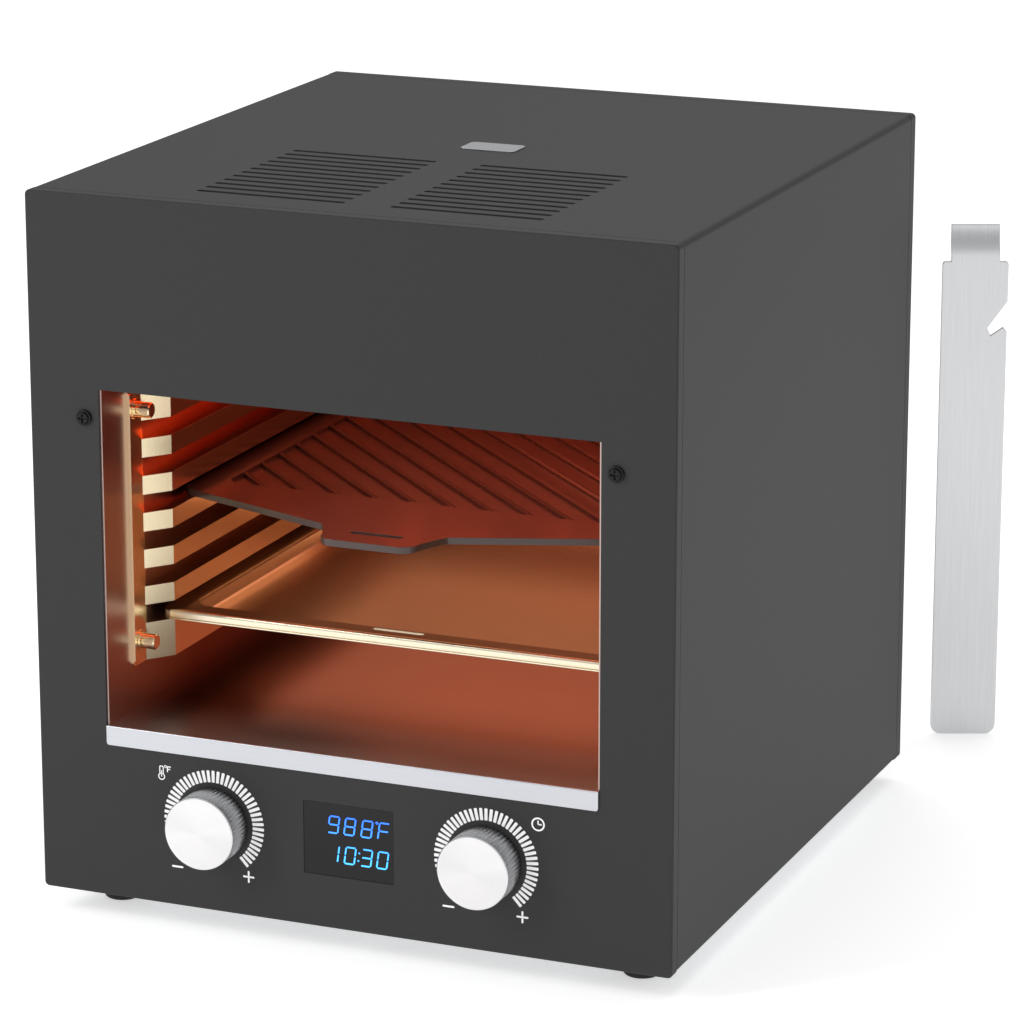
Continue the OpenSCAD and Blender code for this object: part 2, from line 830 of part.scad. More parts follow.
// Threaded posts behind the front panel, each with its screw
module board_standoffs() {
    color("#b8ab80") for (x = post_xs, z = post_zs) translate([x, 0, z]) {
        translate([0, front_in, 0]) rotate([-90, 0, 0])
            cylinder(d = 6, h = board_front - front_in, $fn = 6);
        y_pin(0, board_front - eps, 0, m3, board_t + 1);
        y_pin(0, board_front + board_t, 0, m3_head, m3_head_h);
    }
}

window_back = front_in + 1;
module display_window() {
    color("#2a2b2e") {
        translate([0, front_y + 0.3, control_z - window_h / 2 + fit_gap])
            slab(window_w - 2 * fit_gap, window_h - 2 * fit_gap, sheet_t, 0.4);
        translate([0, front_in, control_z - window_h / 2 - 3])
            slab(window_w + 6, window_h + 6, window_back - front_in, 1);
    }
}

module display_module() {
    y0 = window_back + fit_gap;
    color("#101012") translate([0, y0, control_z - window_h / 2 + 2])
        slab(window_w - 4, window_h - 4, board_front - y0, 0.5);
}

module encoder(x) {
    y0 = front_in + 1;
    color("#8a8d90") difference() {
        union() {
            block([x - encoder_w / 2, y0, control_z - encoder_w / 2],
                [x + encoder_w / 2, board_front, control_z + encoder_w / 2]);
            y_pin(x, front_y - bush_out, control_z, bush_dia, y0 - front_y + bush_out + eps);
        }
        y_pin(x, front_y - bush_out - 1, control_z, shaft_dia + 2 * run_gap,
            board_front - 1 - front_y + bush_out + 1);
    }
}

module temperature_encoder() {
    encoder(-knob_x);
}

module timer_encoder() {
    encoder(knob_x);
}

module encoder_nuts() {
    color("#b9bcc0") for (x = [-knob_x, knob_x])
        translate([x, front_y - nut_h, control_z]) hex_nut(nut_w, bush_dia, nut_h);
}

// Disc in the control's bore that the shaft pushes on the switch behind it
module plunger(x) {
    color("#d9d5c8") y_pin(x, plunger_front, control_z, shaft_dia, plunger_h);
}

module shaft(x) {
    y0 = knob_back - knob_len + cap_t + 2;
    color("#c4c6c9") y_pin(x, y0, control_z, shaft_dia, plunger_front - slide_gap - y0);
}

// Turned aluminium knob: hollow skirt, hub bored for the shaft, chamfered face
module knob(x) {
    r = knob_dia / 2;
    bore = knob_len - cap_t - 2;
    color("#d9dadc") translate([x, knob_back, control_z]) rotate([90, 0, 0]) rotate_extrude()
        polygon([[shaft_dia / 2, knob_recess], [r - cap_t - 2, knob_recess],
            [r - cap_t - 2, 0], [r - 0.4, 0], [r, 0.4], [r, knob_len - 1], [r - 1, knob_len],
            [0, knob_len], [0, bore], [shaft_dia / 2, bore]]);
}

module temperature_plunger() {
    plunger(-knob_x);
}

module temperature_shaft() {
    shaft(-knob_x);
}

module temperature_knob() {
    knob(-knob_x);
}

module timer_plunger() {
    plunger(knob_x);
}

module timer_shaft() {
    shaft(knob_x);
}

module timer_knob() {
    knob(knob_x);
}

// ---- power ----

power_post_xs = [power_x - power_w / 2 + 7, power_x + power_w / 2 - 7];
power_post_ys = [power_y - power_d / 2 + 7, power_y + power_d / 2 - 7];

module power_board() {
    color("#6d5a2c") difference() {
        translate([power_x, power_y, power_z]) linear_extrude(board_t)
            round_rect(power_w, power_d, 1);
        for (x = power_post_xs, y = power_post_ys)
            translate([x, y, power_z - 1]) cylinder(d = m3_hole, h = 4);
    }
    color("#33363a") block([power_x + 26, power_y - 30, power_z + board_t],
        [power_x + 52, power_y - 10, power_z + board_t + 18]);
}

module power_board_posts() {
    color("#b8ab80") for (x = power_post_xs, y = power_post_ys) translate([x, y, 0]) {
        translate([0, 0, bay_z]) cylinder(d = 6, h = power_z - bay_z, $fn = 6);
        translate([0, 0, power_z - eps]) cylinder(d = m3, h = board_t + 1);
        translate([0, 0, power_z + board_t]) cylinder(d = m3_head, h = m3_head_h);
    }
}

module power_relays() {
    color("#23272b") for (i = [0, 1])
        translate([power_x - 48 + i * 36, power_y - 26, power_z + board_t]) cube([28, 13, 18]);
}

module terminal_block() {
    color("#e0dccf") translate([power_x - 40, power_y + 14, power_z + board_t]) difference() {
        cube([80, 16, 13]);
        for (i = [0 : 4]) translate([8 + i * 16, 8, 6]) cylinder(d = 6, h = 8);
    }
}

module fan_frame() {
    r = fan_w / 2 - 1.5;
    y0 = fan_front;
    color("#202124") translate([fan_x, 0, fan_z]) {
        difference() {
            translate([0, y0, -fan_w / 2]) slab(fan_w, fan_w, fan_d, 4);
            y_pin(0, y0 - 1, 0, 2 * r, fan_d + 2);
            for (x = [-1, 1], z = [-1, 1])
                y_pin(x * fan_bolt / 2, y0 - 1, z * fan_bolt / 2, m3_hole, fan_d + 2);
        }
        y_pin(0, y0, 0, fan_hub, 2);
        y_pin(0, y0, 0, 3, fan_d - 5.5);
        for (a = [0, 120, 240]) rotate([0, a, 0])
            block([-1.5, y0, fan_hub / 2 - 1], [1.5, y0 + 2, r + 1]);
    }
}

module fan_rotor() {
    y0 = fan_front + 2.5;
    len = fan_d - 4;
    r = fan_w / 2 - 3;
    color("#2c2d30") translate([fan_x, y0, fan_z]) {
        difference() {
            y_pin(0, 0, 0, fan_hub, len);
            y_pin(0, -1, 0, 3 + 2 * run_gap, len - 2);
        }
        for (i = [0 : blade_count - 1]) rotate([0, i * 360 / blade_count, 0])
            translate([0, len / 2, fan_hub / 2 - 1]) rotate([0, 0, 38])
                translate([-7, -0.6, 0]) cube([14, 1.2, r - fan_hub / 2]);
    }
}

// Three-pin appliance inlet, screwed to the rear panel from outside
module power_inlet() {
    color("#161616") {
        difference() {
            union() {
                translate([inlet_x, back_y, inlet_z - 12]) slab(50, 24, 2.5, 3);
                block([inlet_x - 14, back_y - 24, inlet_z - 10.5],
                    [inlet_x + 14, back_y + 1, inlet_z + 10.5]);
            }
            translate([inlet_x, back_y - 16, inlet_z - 8.2]) slab(24.4, 16.4, 25, 2);
            for (x = [-20, 20]) y_pin(inlet_x + x, back_y - 1, inlet_z, m3_hole, 6);
        }
    }
    color("#c2b280") {
        for (p = [[-7, -2.5], [7, -2.5], [0, 2]])
            block([inlet_x + p[0] - 1, back_y - 17, inlet_z + p[1] - 2],
                [inlet_x + p[0] + 1, back_y - 3, inlet_z + p[1] + 2]);
        for (x = [-7, 7])
            block([inlet_x + x - 0.4, back_y - 31, inlet_z - 3],
                [inlet_x + x + 0.4, back_y - 23.9, inlet_z + 3]);
    }
}

// ---- wiring ----

block_y = power_y + 22;
block_z = power_z + board_t + 13;
hole_z = block_z - 7;
function block_x(i) = power_x - 32 + i * 16;

module mains_leads() {
    colors = ["#5a3a22", "#2a4f86"];
    for (i = [0, 1]) {
        x = inlet_x + (i == 0 ? -7 : 7);
        color(colors[i]) lead([
            [x, back_y - 31, inlet_z], [x, back_y - 38, inlet_z],
            [block_x(3 + i), block_y + 16, block_z + 12],
            [block_x(3 + i), block_y, block_z + 8], [block_x(3 + i), block_y, hole_z]
        ], 3.4);
    }
}

// High-temperature leads from the element ends down behind the chamber
module heater_leads() {
    ends = [for (side = [-1, 1], run = [0, run_count - 1]) side * run_pitch * (0.5 + run)];
    color("#d9cdb6") for (i = [0 : 3]) {
        x = ends[i];
        to = block_x(i < 2 ? 0 : 1) + (i % 2 == 0 ? -1.5 : 1.5);
        low = floor_z + 15 - i * 8;
        lead([[x, terminal_y, tube_z], [x, lead_y, tube_z], [x, lead_y, low],
            [to, lead_y - 12, low - 22], [to, block_y, block_z + 8],
            [to, block_y, hole_z]], 2.4);
    }
}

module probe_lead() {
    x = support_x - 20;
    z = floor_z - 31;
    color("#a33a2a") lead([[probe_x, probe_end, probe_z], [probe_x, lead_y, probe_z],
        [probe_x + 3, lead_y, probe_z - 10], [probe_x + 3, lead_y, z + 12],
        [x, power_y + 60, z], [x, front_y + 60, z],
        [40, board_front + board_t + 6, control_z + 16],
        [40, board_front + board_t, control_z + 16]], 2);
}

module control_cable() {
    z = control_z - 16;
    y0 = board_front + board_t + 9;
    color("#8d8f92") {
        block([-46, y0, z - 0.6], [-34, -24, z + 0.6]);
        block([-46, -24.6, power_z + board_t + 4], [-34, -23.4, z + 0.6]);
        block([-46, -24.6, power_z + board_t + 4],
            [-34, power_y - power_d / 2 + 6, power_z + board_t + 5.2]);
    }
}

module badge_plate() {
    color("#c9cacc") translate([0, front_y + 185, top_z]) linear_extrude(0.6) round_rect(30, 18, 3);
}

// ---- loose pieces ----

// Stainless tray: rolled rim all round, sloping walls and a flat bottom
module drip_tray() {
    d = tray_back - tray_front;
    mid = front_y + (tray_front + tray_back) / 2;
    t = tray_t;
    h = tray_rim_h;
    low = tray_z + h - tray_deep;
    front_ledge = 15;
    rear_ledge = 8;
    pan_d = d - front_ledge - rear_ledge;
    pan_mid = (front_ledge - rear_ledge) / 2;
    rim_r = 7;
    color("#d9c9a6") translate([0, mid, 0]) difference() {
        union() {
            translate([0, 0, tray_z]) linear_extrude(h) round_rect(rack_w, d, rim_r);
            translate([0, pan_mid, low]) linear_extrude(tray_deep - h + eps)
                round_rect(pan_w, pan_d, 10);
        }
        translate([0, pan_mid, low + t]) linear_extrude(tray_deep)
            round_rect(pan_w - 2 * t, pan_d - 2 * t, 10 - t);
        translate([0, 0, tray_z - 1]) linear_extrude(h - t + 1) difference() {
            round_rect(rack_w - 2 * t, d - 2 * t, rim_r - t);
            translate([0, pan_mid]) round_rect(pan_w + 2, pan_d + 2, 10);
        }
        translate([0, -d / 2 + 11, low - 1]) linear_extrude(tray_deep + 4)
            round_rect(slot_w, slot_d, slot_d / 2 - 0.05);
    }
}

// Griddle plate outline, in plan
module griddle_outline() {
    half = rack_w / 2;
    yc = front_y + griddle_corner;
    ys = front_y + griddle_shoulder;
    yt = front_y + griddle_tip;
    yb = front_y + griddle_back;
    edge_r = 5;
    tip_half = tab_half - tab_r * 1.55;
    polygon([[-half, yc + edge_r], [-half + edge_r, yc], [-tab_half - 3, ys], [-tab_half, ys - 5],
        [-tab_half + tab_r * 0.55, yt + tab_r], [tab_half - tab_r * 0.55, yt + tab_r],
        [tab_half, ys - 5], [tab_half + 3, ys], [half - edge_r, yc], [half, yc + edge_r],
        [half, yb - edge_r], [half - edge_r, yb], [-half + edge_r, yb], [-half, yb - edge_r]]);
    for (x = [-1, 1]) {
        translate([x * tip_half, yt + tab_r]) circle(tab_r);
        translate([x * (half - edge_r), yb - edge_r]) circle(edge_r);
    }
    translate([-tip_half, yt]) square([2 * tip_half, tab_r + 1]);
}

module griddle_plate() {
    yf = front_y + griddle_corner + griddle_rim;
    yb = front_y + griddle_back - griddle_rim * 0.6;
    w = pan_w - 4;
    mid = (yf + yb) / 2;
    pitch = w / rib_count;
    color("#3a2b26") {
        difference() {
            union() {
                translate([0, 0, griddle_z]) linear_extrude(griddle_t) griddle_outline();
                translate([0, mid, griddle_z - griddle_sink])
                    linear_extrude(griddle_sink + eps) round_rect(w, yb - yf, 10);
            }
            translate([0, mid, griddle_z - griddle_sink + griddle_t])
                linear_extrude(griddle_t) round_rect(w - 4, yb - yf - 4, 8);
            translate([0, front_y + griddle_tip + 16, griddle_z - 1]) linear_extrude(griddle_t + 2)
                round_rect(slot_w, slot_d, slot_d / 2 - 0.05);
        }
        intersection() {
            for (i = [-rib_count : rib_count])
                translate([i * pitch * 1.2, mid, griddle_z - griddle_sink + griddle_t - eps])
                    rotate([0, 0, 45]) translate([-1.2, -w, 0]) cube([2.4, 2 * w, 1.8]);
            translate([0, mid, griddle_z - griddle_sink]) linear_extrude(12)
                round_rect(w - 4, yb - yf - 4, 8);
        }
    }
}

// Flat bar with a hook notch and a stepped tongue, standing on its end
tool_x = body_w / 2 + 9.5;
tool_y = body_d / 2 + 88;
module lifting_tool() {
    step = 4;
    z0 = tool_len;
    notch = [[tool_w / 2 + 1, z0 - 21.3], [tool_w / 2, z0 - 22.7], [tool_w / 2 - 11, z0 - 38],
        [tool_w / 2 - 9, z0 - 42.2], [tool_w / 2 - 2, z0 - 37.4], [tool_w / 2, z0 - 40],
        [tool_w / 2 + 1, z0 - 41]];
    color("#c3c5c8") translate([tool_x, tool_y, 0]) rotate([0, 0, tool_turn]) {
        translate([0, tool_t, 0]) rotate([90, 0, 0]) linear_extrude(tool_t) difference() {
            union() {
                translate([0, z0 / 2 + 5]) round_rect(tool_w, z0 - 10, 2);
                translate([0, tool_w / 2 + 2]) round_rect(tool_w, tool_w + 4, 6);
            }
            polygon(notch);
        }
        translate([-tongue_w / 2, 0, 0]) rotate([90, 0, 90]) linear_extrude(tongue_w)
            polygon([[0, z0 - 6], [0, z0 + 3], [step, z0 + 11], [step, z0 + tongue_len],
                [step + tool_t, z0 + tongue_len], [step + tool_t, z0 + 10], [tool_t, z0 + 2],
                [tool_t, z0 - 6]]);
    }
}

outer_shell();
front_panel();
rear_panel();
base_pan();
rubber_feet();
foot_screws();
base_screws();
rear_screws();
front_screws();
chamber_left_wall();
chamber_right_wall();
chamber_back_wall();
chamber_floor();
chamber_ceiling();
chamber_supports();
left_rack_guide();
right_rack_guide();
guide_studs();
guide_nuts();
left_heating_element();
right_heating_element();
heater_hangers();
heater_bushings();
heater_terminals();
top_insulation();
left_insulation();
right_insulation();
rear_insulation();
floor_insulation();
temperature_probe();
thermal_cutout();
control_board();
board_standoffs();
display_module();
display_window();
temperature_encoder();
timer_encoder();
encoder_nuts();
power_board();
power_board_posts();
power_relays();
terminal_block();
fan_frame();
power_inlet();
mains_leads();
heater_leads();
probe_lead();
control_cable();
badge_plate();
fan_rotor();
temperature_plunger();
temperature_shaft();
temperature_knob();
timer_plunger();
timer_shaft();
timer_knob();
drip_tray();
griddle_plate();
lifting_tool();
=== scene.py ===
import math

import bmesh
import bpy
from mathutils import Matrix, Vector


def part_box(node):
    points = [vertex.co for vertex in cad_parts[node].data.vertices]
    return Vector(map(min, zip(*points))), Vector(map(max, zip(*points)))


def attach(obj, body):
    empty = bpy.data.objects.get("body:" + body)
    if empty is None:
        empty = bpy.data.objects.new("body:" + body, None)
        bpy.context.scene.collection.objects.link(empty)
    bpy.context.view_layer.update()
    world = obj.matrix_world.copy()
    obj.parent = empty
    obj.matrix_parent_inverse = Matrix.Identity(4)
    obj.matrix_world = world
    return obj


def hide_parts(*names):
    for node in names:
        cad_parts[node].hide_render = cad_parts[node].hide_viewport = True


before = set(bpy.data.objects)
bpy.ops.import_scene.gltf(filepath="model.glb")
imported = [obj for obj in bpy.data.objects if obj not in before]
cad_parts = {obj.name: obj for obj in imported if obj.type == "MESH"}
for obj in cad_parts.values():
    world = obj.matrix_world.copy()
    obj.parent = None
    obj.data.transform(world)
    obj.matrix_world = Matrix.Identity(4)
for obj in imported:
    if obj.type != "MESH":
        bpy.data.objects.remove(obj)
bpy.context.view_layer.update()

# ---- Studio ----
# A pale floor without an edge in sight, a pale surround and three soft boxes, as a
# small appliance is lit on a table. The camera stands to the right, a little above.
mm = 0.001


def linear(hex_colour):
    """Linear RGBA of an sRGB hex colour."""
    parts = [int(hex_colour[i:i + 2], 16) / 255 for i in (1, 3, 5)]
    return [c / 12.92 if c <= 0.04045 else ((c + 0.055) / 1.055) ** 2.4 for c in parts] + [1]


def add_node(tree, kind, inputs=None, **settings):
    """Adds a node. Settings are its properties; inputs are values, or sockets to link from."""
    made = tree.nodes.new("ShaderNode" + kind)
    for name, value in settings.items():
        setattr(made, name, value)
    for key, value in (inputs or {}).items():
        if isinstance(value, bpy.types.NodeSocket):
            tree.links.new(value, made.inputs[key])
        else:
            made.inputs[key].default_value = value
    return made


def textured(name, light, dark, grain, relief, stretch=(1, 1, 1), gloss_swing=0.06, **shader):
    """A finish varied by one noise; grain and relief are in mm, stretch draws the grain out."""
    material = bpy.data.materials.new(name)
    material.use_nodes = True
    tree = material.node_tree
    principled = tree.nodes["Principled BSDF"]
    place = add_node(tree, "TexCoord")
    fitted = add_node(tree, "Mapping", {
        "Vector": place.outputs["Object"],
        "Scale": [1 / (grain * mm * s) for s in stretch]})
    noise = add_node(tree, "TexNoise", {
        "Vector": fitted.outputs["Vector"], "Scale": 1.0, "Detail": 3.0, "Roughness": 0.6})
    tint = add_node(tree, "Mix", {
        "Factor": noise.outputs["Fac"], 6: linear(dark), 7: linear(light)}, data_type="RGBA")
    tree.links.new(tint.outputs[2], principled.inputs["Base Color"])
    roughness = shader.pop("Roughness", 0.5)
    gloss = add_node(tree, "MapRange", {
        "Value": noise.outputs["Fac"],
        "To Min": roughness - gloss_swing, "To Max": roughness + gloss_swing})
    tree.links.new(gloss.outputs["Result"], principled.inputs["Roughness"])
    bump = add_node(tree, "Bump", {"Height": noise.outputs["Fac"], "Distance": relief * mm})
    tree.links.new(bump.outputs["Normal"], principled.inputs["Normal"])
    for socket, value in shader.items():
        principled.inputs[socket.replace("_", " ")].default_value = value
    return material


scene = bpy.context.scene
scene.view_settings.view_transform = "Standard"

camera = bpy.data.objects.new("camera", bpy.data.cameras.new("camera"))
scene.collection.objects.link(camera)
turn, tilt = math.radians(22.457), math.radians(15.584)
towards_camera = Vector((
    math.sin(turn) * math.cos(tilt), -math.cos(turn) * math.cos(tilt), math.sin(tilt)))
camera.location = (0.8614, -2.0535, 0.8022)
camera.rotation_euler = (-towards_camera).to_track_quat("-Z", "Y").to_euler()
camera.data.lens = 156.26
camera.data.sensor_width = 36
scene.camera = camera

world = bpy.data.worlds.new("surround")
world.use_nodes = True
world.node_tree.nodes["Background"].inputs["Color"].default_value = linear("#ffffff")
world.node_tree.nodes["Background"].inputs["Strength"].default_value = 0.55
scene.world = world

floor_bm = bmesh.new()
bmesh.ops.create_grid(floor_bm, x_segments=1, y_segments=1, size=8)
floor_mesh = bpy.data.meshes.new("floor")
floor_bm.to_mesh(floor_mesh)
floor_bm.free()
floor = bpy.data.objects.new("floor", floor_mesh)
scene.collection.objects.link(floor)
floor_mesh.materials.append(
    textured("matt_card", "#f6f6f6", "#f4f4f4", 40, 0, Roughness=0.9, gloss_swing=0.02,
             Emission_Color=linear("#ffffff"), Emission_Strength=0.5))


def soft_box(name, place, target, size, power, tint="#ffffff"):
    """A rectangular lamp at place, turned to target."""
    lamp = bpy.data.objects.new(name, bpy.data.lights.new(name, "AREA"))
    lamp.data.shape = "RECTANGLE"
    lamp.data.size, lamp.data.size_y = size
    lamp.data.energy = power
    lamp.data.color = linear(tint)[:3]
    lamp.location = place
    aim = Vector(target) - Vector(place)
    lamp.rotation_euler = aim.to_track_quat("-Z", "Y").to_euler()
    scene.collection.objects.link(lamp)
    return lamp


soft_box("left_soft_box", (-1.6, -1.6, 1.5), (0, 0, 0.2), (0.6, 1.5), 24)
soft_box("top_soft_box", (0.1, 0.9, 1.9), (0, 0, 0.3), (1.6, 1.0), 9)
soft_box("right_soft_box", (0.5, -2.2, 1.0), (0, 0, 0.2), (0.4, 1.0), 3)


# ---- Case ----
# Three folded sheets of 1.2 mm steel: a front pan, a rear pan and a wrap of top and
# sides, powder coated in one matt charcoal. The coat has a fine orange-peel grain.
# The grain is drawn 1.4 mm across, several times the real one, so that it shows.
def dress(material, *nodes):
    """Puts a material in every slot of the CAD nodes."""
    for node in nodes:
        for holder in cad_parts[node].material_slots:
            holder.material = material


def add_piece(name, bm, material, body, replaced=(), smooth_angle=35):
    """Makes a finished piece of a bmesh, riding on a body, in the place of CAD nodes."""
    mesh = bpy.data.meshes.new(name)
    bm.to_mesh(mesh)
    bm.free()
    mesh.materials.append(material)
    mesh.polygons.foreach_set("use_smooth", [True] * len(mesh.polygons))
    mesh.set_sharp_from_angle(angle=math.radians(smooth_angle))
    piece = bpy.data.objects.new(name, mesh)
    scene.collection.objects.link(piece)
    shading = piece.modifiers.new("flat_faces_stay_flat", "WEIGHTED_NORMAL")
    shading.keep_sharp = True
    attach(piece, body)
    if replaced:
        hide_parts(*replaced)
    return piece


def merged_copy(node):
    """A bmesh of a CAD node with its triangles joined and its flat faces whole."""
    bm = bmesh.new()
    bm.from_mesh(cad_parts[node].data)
    bmesh.ops.remove_doubles(bm, verts=bm.verts, dist=0.002 * mm)
    bmesh.ops.dissolve_limit(
        bm, angle_limit=math.radians(0.6), use_dissolve_boundaries=False,
        verts=bm.verts, edges=bm.edges)
    return bm


def soften(bm, radius, segments=2, sharp_from=35, keep=lambda edge: True):
    """Rounds the edges that are sharper than an angle in degrees."""
    edges = [e for e in bm.edges
             if len(e.link_faces) == 2 and e.calc_face_angle() > math.radians(sharp_from)
             and keep(e)]
    bmesh.ops.bevel(
        bm, geom=edges, offset=radius * mm, offset_type="OFFSET", segments=segments,
        profile=0.5, affect="EDGES", material=-1, clamp_overlap=True)


powder_coat = textured(
    "charcoal_powder_coat", "#343434", "#2d2d2d", 1.4, 0.05, Roughness=0.55, gloss_swing=0.05,
    Specular_IOR_Level=0.25)
front_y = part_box("front_panel")[0].y
panel = merged_copy("front_panel")
panel_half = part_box("front_panel")[1].x
soften(panel, 1.0, 3, keep=lambda e: all(v.co.y < front_y + 0.1 * mm for v in e.verts) and (
    min(abs(v.co.x) for v in e.verts) > panel_half - 4 * mm
    or min(v.co.z for v in e.verts) > 0.368 or max(v.co.z for v in e.verts) < 0.016))
add_piece("front_pan", panel, powder_coat, "oven", ["front_panel"])
dress(powder_coat, "outer_shell", "rear_panel")

# ---- Base and feet ----
# The base pan and the chamber's rails are bare zinc-coated steel, whose spangle is
# some 8 mm across. The feet are black rubber, moulded with a dull skin.
zinc_sheet = textured(
    "zinc_coated_sheet", "#b4b8bb", "#8f9498", 8, 0.01, Roughness=0.42, Metallic=1.0)
dress(zinc_sheet, "base_pan", "chamber_supports")
rubber = textured("moulded_rubber", "#1d1d1d", "#141414", 0.8, 0.03, Roughness=0.7)
feet = merged_copy("rubber_feet")
soften(feet, 0.4)
add_piece("feet", feet, rubber, "oven", ["rubber_feet"])

# ---- Screws ----
# The front screws are black oxide cross-heads that also hold the chamber's flanges.
# The screws in the rear panel are the same finish; those underneath are zinc plated.
black_oxide = textured(
    "black_oxide_steel", "#1c1c1d", "#101011", 0.7, 0.01, Roughness=0.3, Metallic=0.6)
screws = merged_copy("front_screws")
soften(screws, 0.25, 3)
add_piece("cross_head_screws", screws, black_oxide, "oven", ["front_screws"])
dress(black_oxide, "rear_screws")
zinc_plate = textured(
    "zinc_plated_steel", "#c6c9cb", "#a9adb0", 0.6, 0.01, Roughness=0.3, Metallic=1.0)
dress(zinc_plate, "foot_screws", "base_screws", "guide_nuts")

# ---- Badge ----
# A small blank plate of aluminium, brushed along its length so that it shines in one
# long streak. Its edges are eased, and it is glued to the top behind the vents.
brushed_aluminium = textured(
    "brushed_aluminium", "#c9cacc", "#a4a6a9", 0.35, 0.01, (60, 1, 1), Roughness=0.34,
    Metallic=1.0)
badge = merged_copy("badge_plate")
soften(badge, 0.15)
add_piece("badge", badge, brushed_aluminium, "oven", ["badge_plate"])

# ---- Chamber ----
# Walls, ceiling and floor of 0.8 mm stainless sheet, brushed from front to back on
# the floor and up and down on the walls. Bright at the lip; further in, a straw to
# red-brown tint that is partly heat tint and partly a painted red glow of the heater.
def heat_tint_and_painted_glow(name, depth_from, depth_to, hot_and_glow_colour, *look, **shader):
    """A textured finish that takes on a second colour, heat tint and painted glow, between two
    depths in mm from the front.
    """
    material = textured(name, *look, **shader)
    tree = material.node_tree
    principled = tree.nodes["Principled BSDF"]
    cool = principled.inputs["Base Color"].links[0].from_socket
    place = add_node(tree, "TexCoord")
    axes = add_node(tree, "SeparateXYZ", {"Vector": place.outputs["Object"]})
    depth = add_node(tree, "MapRange", {
        "Value": axes.outputs["Y"], "From Min": front_y + depth_from * mm,
        "From Max": front_y + depth_to * mm}, interpolation_type="SMOOTHSTEP")
    # painted glow of the heater over a heat tint: the second colour deepens away from the front
    heat_and_glow_tint = add_node(tree, "Mix", {
        "Factor": depth.outputs["Result"], 6: linear("#ffffff"), 7: linear(hot_and_glow_colour)},
        data_type="RGBA")
    heat_and_glow_tinted = add_node(tree, "Mix", {
        "Factor": 1.0, 6: cool, 7: heat_and_glow_tint.outputs[2]}, data_type="RGBA", blend_type="MULTIPLY")
    tree.links.new(heat_and_glow_tinted.outputs[2], principled.inputs["Base Color"])
    return material


# real brush lines are finer than 0.1 mm; here they are wider so that they show
# walls and floor: red-brown further in is partly heat tint, partly painted red glow
wall_steel = heat_tint_and_painted_glow(
    "brushed_stainless_wall", 0, 110, "#c08470", "#c9b3ab", "#a8938b", 0.45, 0.012, (1, 1, 80),
    Roughness=0.32, Metallic=1.0)
dress(wall_steel, "chamber_left_wall", "chamber_right_wall", "chamber_back_wall")
floor_steel = heat_tint_and_painted_glow(
    "brushed_stainless_floor", 1, 60, "#b57c63", "#cfd2d7", "#bfc2c7", 0.45, 0.012, (80, 1, 1),
    Roughness=0.34, Metallic=1.0)
dress(floor_steel, "chamber_floor", "chamber_ceiling")

# ---- Rack guides ----
# Pressed stainless channels with six slots, on shouldered studs with nuts behind the
# walls. Their near-white cream is a painted sheen for the light on the webs, over a straw heat
# tint.
# painted sheen: the base colour is near white, brighter than the steel itself
guide_steel = textured(
    "pressed_stainless_painted_sheen", "#fbecc8", "#f3e2bb", 0.5, 0.01, (1, 1, 50), Roughness=0.22,
    Metallic=1.0)
for side in ("left", "right"):
    guide = merged_copy(side + "_rack_guide")
    soften(guide, 0.25)
    add_piece(side + "_guide", guide, guide_steel, "oven",
              [side + "_rack_guide"])
dress(guide_steel, "guide_studs")

# ---- Heater ----
# Two sheathed tubes bent to and fro under the ceiling, glowing orange, on steel
# straps, with ceramic bushes where their cold ends leave through the back wall.
glowing_sheath = textured(
    "glowing_sheath", "#8a3a1c", "#4a1c10", 3, 0.03, Roughness=0.6, Metallic=0.4,
    Emission_Color=linear("#ff4a14"), Emission_Strength=2.6)
dress(glowing_sheath, "left_heating_element", "right_heating_element")
strap_steel = textured(
    "heat_tinted_strap", "#a89c8c", "#6f5c4c", 4, 0.01, Roughness=0.4, Metallic=1.0)
dress(strap_steel, "heater_hangers", "temperature_probe")
glazed_ceramic = textured(
    "steatite_ceramic", "#ece6d8", "#ddd5c2", 1.5, 0.02, Roughness=0.35)
dress(glazed_ceramic, "heater_bushings")
brass = textured("stamped_brass", "#cdb36a", "#a98f4e", 0.8, 0.01, Roughness=0.3, Metallic=1.0)
dress(brass, "heater_terminals", "board_standoffs", "power_board_posts")
element_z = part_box("left_heating_element")[0].z
# the heat's light under the elements, between the shelves and over the floor
for lamp in (
    soft_box("heater_glow", (0, 0, element_z - 3 * mm), (0, 0, 0), (0.22, 0.2), 0.13, "#ffa888"),
    soft_box("lower_glow", (0, 0.02, 0.138), (0, 0.02, 0), (0.2, 0.2), 0.34, "#ffb898"),
    soft_box("middle_glow", (0, 0.02, 0.196), (0, 0.02, 0), (0.2, 0.2), 0.25, "#ffa57c"),
):
    lamp.visible_camera = False
    lamp.data.spread = math.radians(140)

# ---- Insulation ----
# Blankets of ceramic fibre wrapped round the chamber and held by the case alone. They are
# dull and painted near black as painted shade, so the vents look dark.
# painted shade: the fibre is coloured near black for the dark inside the case
ceramic_wool = textured(
    "ceramic_fibre_painted_shade", "#232221", "#161515", 2.5, 0.6, Roughness=0.95,
    gloss_swing=0.03)
dress(ceramic_wool, "top_insulation", "left_insulation", "right_insulation",
      "rear_insulation", "floor_insulation")

